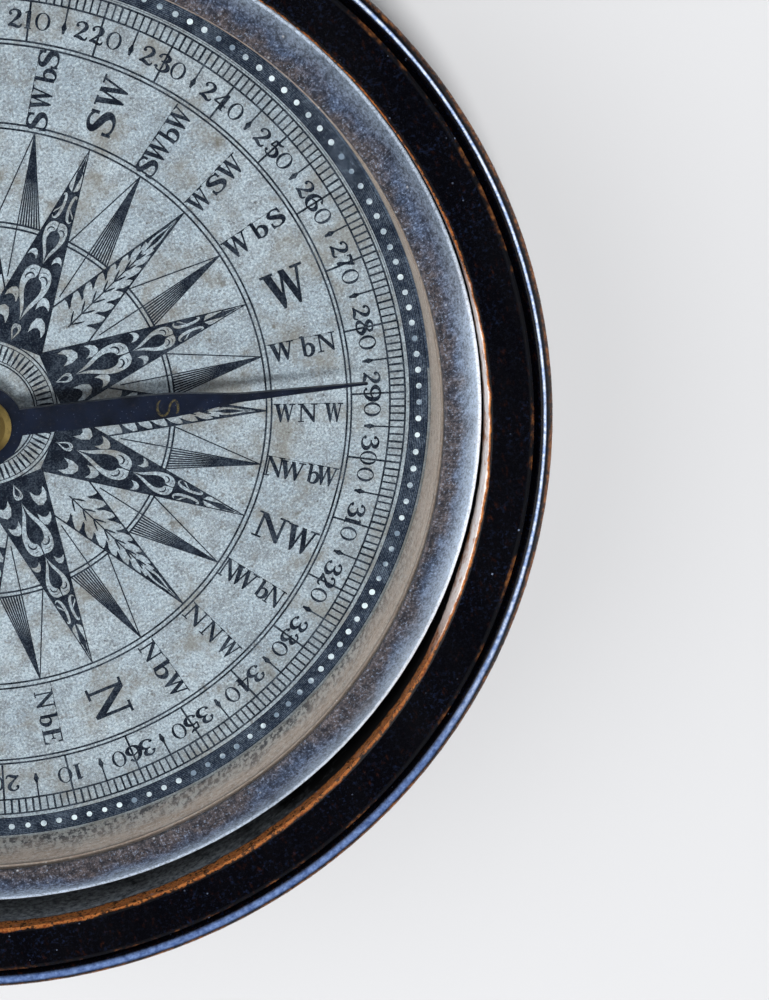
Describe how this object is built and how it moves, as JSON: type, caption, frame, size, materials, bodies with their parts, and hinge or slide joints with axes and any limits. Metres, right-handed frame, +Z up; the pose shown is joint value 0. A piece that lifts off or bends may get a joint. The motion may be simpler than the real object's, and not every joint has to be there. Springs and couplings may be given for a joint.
{
  "type": "miners dial",
  "caption": "Dry compass in a turned wooden case: fixed printed card, blued needle on a steel point, glazed metal bezel, sliding needle stop and a staff socket in the base.",
  "frame": {"origin": "middle of the flat base, at the mouth of the staff socket", "axes": "+Z up out of the dial, +Y towards the north of the card, +X towards its east, where the stop knob is"},
  "size_m": [0.1654, 0.1544, 0.0385],
  "materials": {
    "case_wood": "dark varnish, worn at the edges",
    "bezel_metal": "tarnished grey metal",
    "bowl_metal": "dull grey metal",
    "liner_wood": "bare, dusty",
    "card_paper": "aged, printed",
    "clear_glass": "clear",
    "brass": "aged",
    "steel": "polished",
    "blued_steel": "blued",
    "agate": "polished"
  },
  "bodies": {
    "case": {"case_body": "case_wood", "staff_bush": "brass", "staff_bush_screws": "brass", "compass_bowl": "bowl_metal", "bowl_screws": "brass", "bezel_ring": "bezel_metal", "glass": "clear_glass", "liner_ring": "liner_wood", "compass_card": "card_paper", "card_plate": "brass", "pivot_pillar": "brass", "pivot_pin": "steel", "fulcrum_bracket": "brass", "fulcrum_pin": "steel", "slide_guide": "brass", "slide_spring": "steel", "bracket_screws": "brass", "slide_bush": "brass"},
    "stop": {"stop_slide": "steel", "stop_knob": "brass"},
    "lever": {"lifter_lever": "brass"},
    "sleeve": {"lifter_sleeve": "brass"},
    "needle": {"needle_bar": "blued_steel", "needle_cap": "brass", "cap_jewel": "agate", "balance_rider": "brass"}
  },
  "joints": [
    {"name": "stop_slide_in", "type": "slide", "parent": "case", "child": "stop", "axis": [-1, 0, 0], "range_m": [0, 0.005]},
    {"name": "lever_lift", "type": "hinge", "parent": "case", "child": "lever", "pos_m": [-0.0416, -0.00058, 0.0205], "axis": [0, -1, 0], "range_deg": [0, 1]},
    {"name": "sleeve_lift", "type": "slide", "parent": "case", "child": "sleeve", "axis": [0, 0, 1], "range_m": [0, 0.0007]},
    {"name": "needle_turn", "type": "hinge", "parent": "sleeve", "child": "needle", "pos_m": [-0.0016, -0.00058, 0.0334], "axis": [0, 0, 1], "continuous": true}
  ],
  "couplings": [
    {"joint": "lever_lift", "follows": "stop_slide_in", "rad_per_m": 3.5002},
    {"joint": "sleeve_lift", "follows": "stop_slide_in", "ratio": 0.14}
  ]
}
